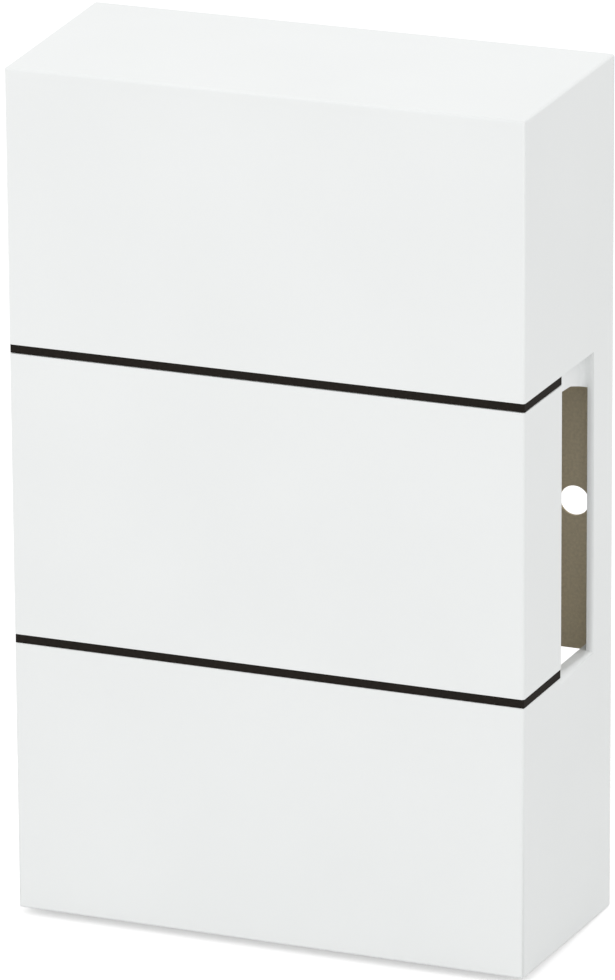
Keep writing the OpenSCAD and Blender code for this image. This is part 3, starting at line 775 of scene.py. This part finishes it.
def star_clips():
    """All push-on clips."""
    bm = bmesh.new()
    for low, high in islands("bar_clips"):
        star_clip(bm, low, high)
    bmesh.ops.recalc_face_normals(bm, faces=bm.faces)
    return soften(bm, CUT_EDGE, segments=1, sharp=CUT_ANGLE)


place(spools(), "grommets", grommet_rubber, "bar_grommets")
place(star_clips(), "push_clips", zinc_plate, "bar_clips")

# %% [markdown]
# ## Coil and its frame
# The yoke is a bent strip and the keeper a punched plate, both with the small edge round that a press
# leaves. The coil is wire wound on a nylon bobbin and closed with a tape, whose last lap ends in a
# visible step. The winding is spun as a body, and the lap as a thinner strip that stops short of a turn.

# %% Coil and frame
PRESSED_EDGE = 0.15 * MM
DRAWN_EDGE = 0.1 * MM
MACHINED_EDGE = 0.08 * MM
TUBE_R = 5.5 * MM
TAPE_T = 0.08 * MM
TAPE_MARGIN = 0.4 * MM
TAPE_END = radians(335)
WOUND_ROUND = 0.5 * MM
COIL_STEPS = 96
LAP_STEPS = 90


def taped_coil():
    """The winding and the last lap of its tape."""
    low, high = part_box("winding")
    centre = (low + high) / 2
    half, out = (high.x - low.x) / 2, (high.z - low.z) / 2
    body = out - TAPE_T
    bm = bmesh.new()
    turn(bm, rounded([(-half, TUBE_R, 0), (half, TUBE_R, 0), (half, body, WOUND_ROUND),
                      (-half, body, WOUND_ROUND)]), centre, steps=COIL_STEPS)
    lap = half - TAPE_MARGIN - WOUND_ROUND
    turn(bm, [(-lap, body - TAPE_T), (lap, body - TAPE_T), (lap, out), (-lap, out)], centre,
         angle=TAPE_END, steps=LAP_STEPS)
    return closed(bm)


place(soften(welded("yoke"), PRESSED_EDGE), "yoke_frame", zinc_plate, "yoke")
place(soften(welded("keeper"), PRESSED_EDGE), "keeper_plate", zinc_plate, "keeper")
place(soften(welded("bobbin"), PRESSED_EDGE), "coil_bobbin", natural_nylon, "bobbin")
place(taped_coil(), "coil_winding", tape_finish, "winding")
place(soften(welded("guide_tube"), DRAWN_EDGE), "brass_tube", bright_brass, "guide_tube")
place(soften(welded("yoke_screws"), MACHINED_EDGE), "movement_screws", zinc_plate, "yoke_screws")

# %% [markdown]
# ## Plunger and tips
# The plunger is turned steel with a nylon nose pressed into each end. The noses are softer than the
# bars, so the chime rings instead of clanking. A snap ring in a groove near the left end carries the
# spring.

# %% Plunger and tips
TURNED_EDGE = 0.15 * MM
NOSE_EDGE = 0.12 * MM

place(soften(welded("plunger"), TURNED_EDGE), "steel_plunger", turned_steel, "plunger")
place(soften(welded("striker_tip_left"), NOSE_EDGE), "left_tip", natural_nylon, "striker_tip_left")
place(soften(welded("striker_tip_right"), NOSE_EDGE), "right_tip", natural_nylon, "striker_tip_right")
place(soften(welded("spring_clip"), MACHINED_EDGE), "spring_keeper", zinc_plate, "spring_clip")

# %% [markdown]
# ## Return spring
# A compression spring is wound with one close turn at each end, so that it stands square, and open turns
# between. One circle of wire is spun round the axis while it moves along it, in three runs with their own
# pitch. The right end leans on the yoke and the left end moves with the plunger; the coil here is built
# at its rest length only.

# %% Return spring
COIL_R = 5.2 * MM
SPRING_WIRE_R = 0.3 * MM
WIRE_SIDES = 14
OPEN_TURNS = 4
CLOSE_PITCH = 0.7 * MM
TURN_STEPS = 40


def return_spring():
    """The coil at its rest length, from the yoke to the snap ring."""
    low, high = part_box("return_spring")
    plunger_low, plunger_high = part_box("plunger")
    axis = Vector((high.x, (plunger_low.y + plunger_high.y) / 2, 0))
    length = high.x - low.x - 2 * SPRING_WIRE_R
    open_pitch = (length - 2 * CLOSE_PITCH) / OPEN_TURNS
    bm = bmesh.new()
    start = axis + Vector((-SPRING_WIRE_R, COIL_R, 0))
    ring = bmesh.ops.create_circle(bm, radius=SPRING_WIRE_R, segments=WIRE_SIDES,
                                   matrix=Matrix.Translation(start))
    geom = ring["verts"] + list(dict.fromkeys(e for v in ring["verts"] for e in v.link_edges))
    for turns, pitch in ((1, CLOSE_PITCH), (OPEN_TURNS, open_pitch), (1, CLOSE_PITCH)):
        step = Vector((-pitch / TURN_STEPS, 0, 0))
        spun = bmesh.ops.spin(bm, geom=geom, cent=axis, axis=(1, 0, 0), dvec=step, angle=2 * pi * turns,
                              steps=turns * TURN_STEPS, use_duplicate=False)
        geom = spun["geom_last"]
    spring = as_object(closed(bm), "spring_coil", drawn_wire)
    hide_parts("return_spring")
    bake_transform(spring)
    print("spring_coil with", len(spring.data.polygons), "faces and an open pitch of",
          round(open_pitch / MM, 2), "mm")


return_spring()

# %% [markdown]
# ## Terminal block
# The bell wires are clamped in brass sleeves inside a moulded block. The block's edges come out of the
# mould a little round, while the screws and the sleeves keep the small edge of machined metal.

# %% Terminal block
BLOCK_EDGE = 0.3 * MM

place(soften(welded("terminal_block"), BLOCK_EDGE, segments=3), "wire_block", block_white,
      "terminal_block")
place(soften(welded("terminal_sleeves"), MACHINED_EDGE), "wire_sleeves", bright_brass,
      "terminal_sleeves")
place(soften(welded("terminal_screws"), MACHINED_EDGE), "clamp_screws", zinc_plate, "terminal_screws")
place(soften(welded("block_screw"), MACHINED_EDGE), "mount_screw", zinc_plate, "block_screw")

# %% [markdown]
# ## Leads
# A sleeved lead runs from each end of the winding to its terminal in an easy curve. Its route is a few
# listed points, and a smooth curve through them carries a row of circles, which are bridged into one
# tube. The right lead is the left one mirrored.

# %% Leads
LEAD_R = 0.6 * MM
LEAD_SIDES = 16
LEAD_STEPS = 8
LEAD_ROUTE = [Vector(point) * MM for point in (
    (-8.1, -17, -8.25), (-8.1, -17, -10.25), (-8.1, -15, -16), (-8.1, -12, -23),
    (-7, -9, -30), (-6.5, -7, -36), (-6.5, -7, -45.5))]


def smooth_route(points):
    """Points on a curve that goes through all the given ones."""
    ends = [2 * points[0] - points[1]] + points + [2 * points[-1] - points[-2]]
    route = []
    for a, b, c, d in zip(ends, ends[1:], ends[2:], ends[3:]):
        for t in (k / LEAD_STEPS for k in range(LEAD_STEPS)):
            bend = (2 * a - 5 * b + 4 * c - d) * t + (3 * b - a - 3 * c + d) * t * t
            route.append(b + 0.5 * t * (c - a + bend))
    return route + [points[-1]]


def lead(side):
    """A tube along the route, on the left for -1 and on the right for 1."""
    route = [Vector((-side * p.x, p.y, p.z)) for p in smooth_route(LEAD_ROUTE)]
    bm = bmesh.new()
    before = None
    for i, point in enumerate(route):
        ahead = route[min(i + 1, len(route) - 1)] - route[max(i - 1, 0)]
        turned = ahead.to_track_quat("Z", "X").to_matrix().to_4x4()
        ring = bmesh.ops.create_circle(bm, radius=LEAD_R, segments=LEAD_SIDES,
                                       matrix=Matrix.Translation(point) @ turned)["verts"]
        edges = list(dict.fromkeys(e for v in ring for e in v.link_edges))
        if before:
            bmesh.ops.bridge_loops(bm, edges=before + edges)
        before = edges
    return closed(bm)


place(lead(-1), "coil_lead_left", red_sleeve, "lead_left")
place(lead(1), "coil_lead_right", red_sleeve, "lead_right")
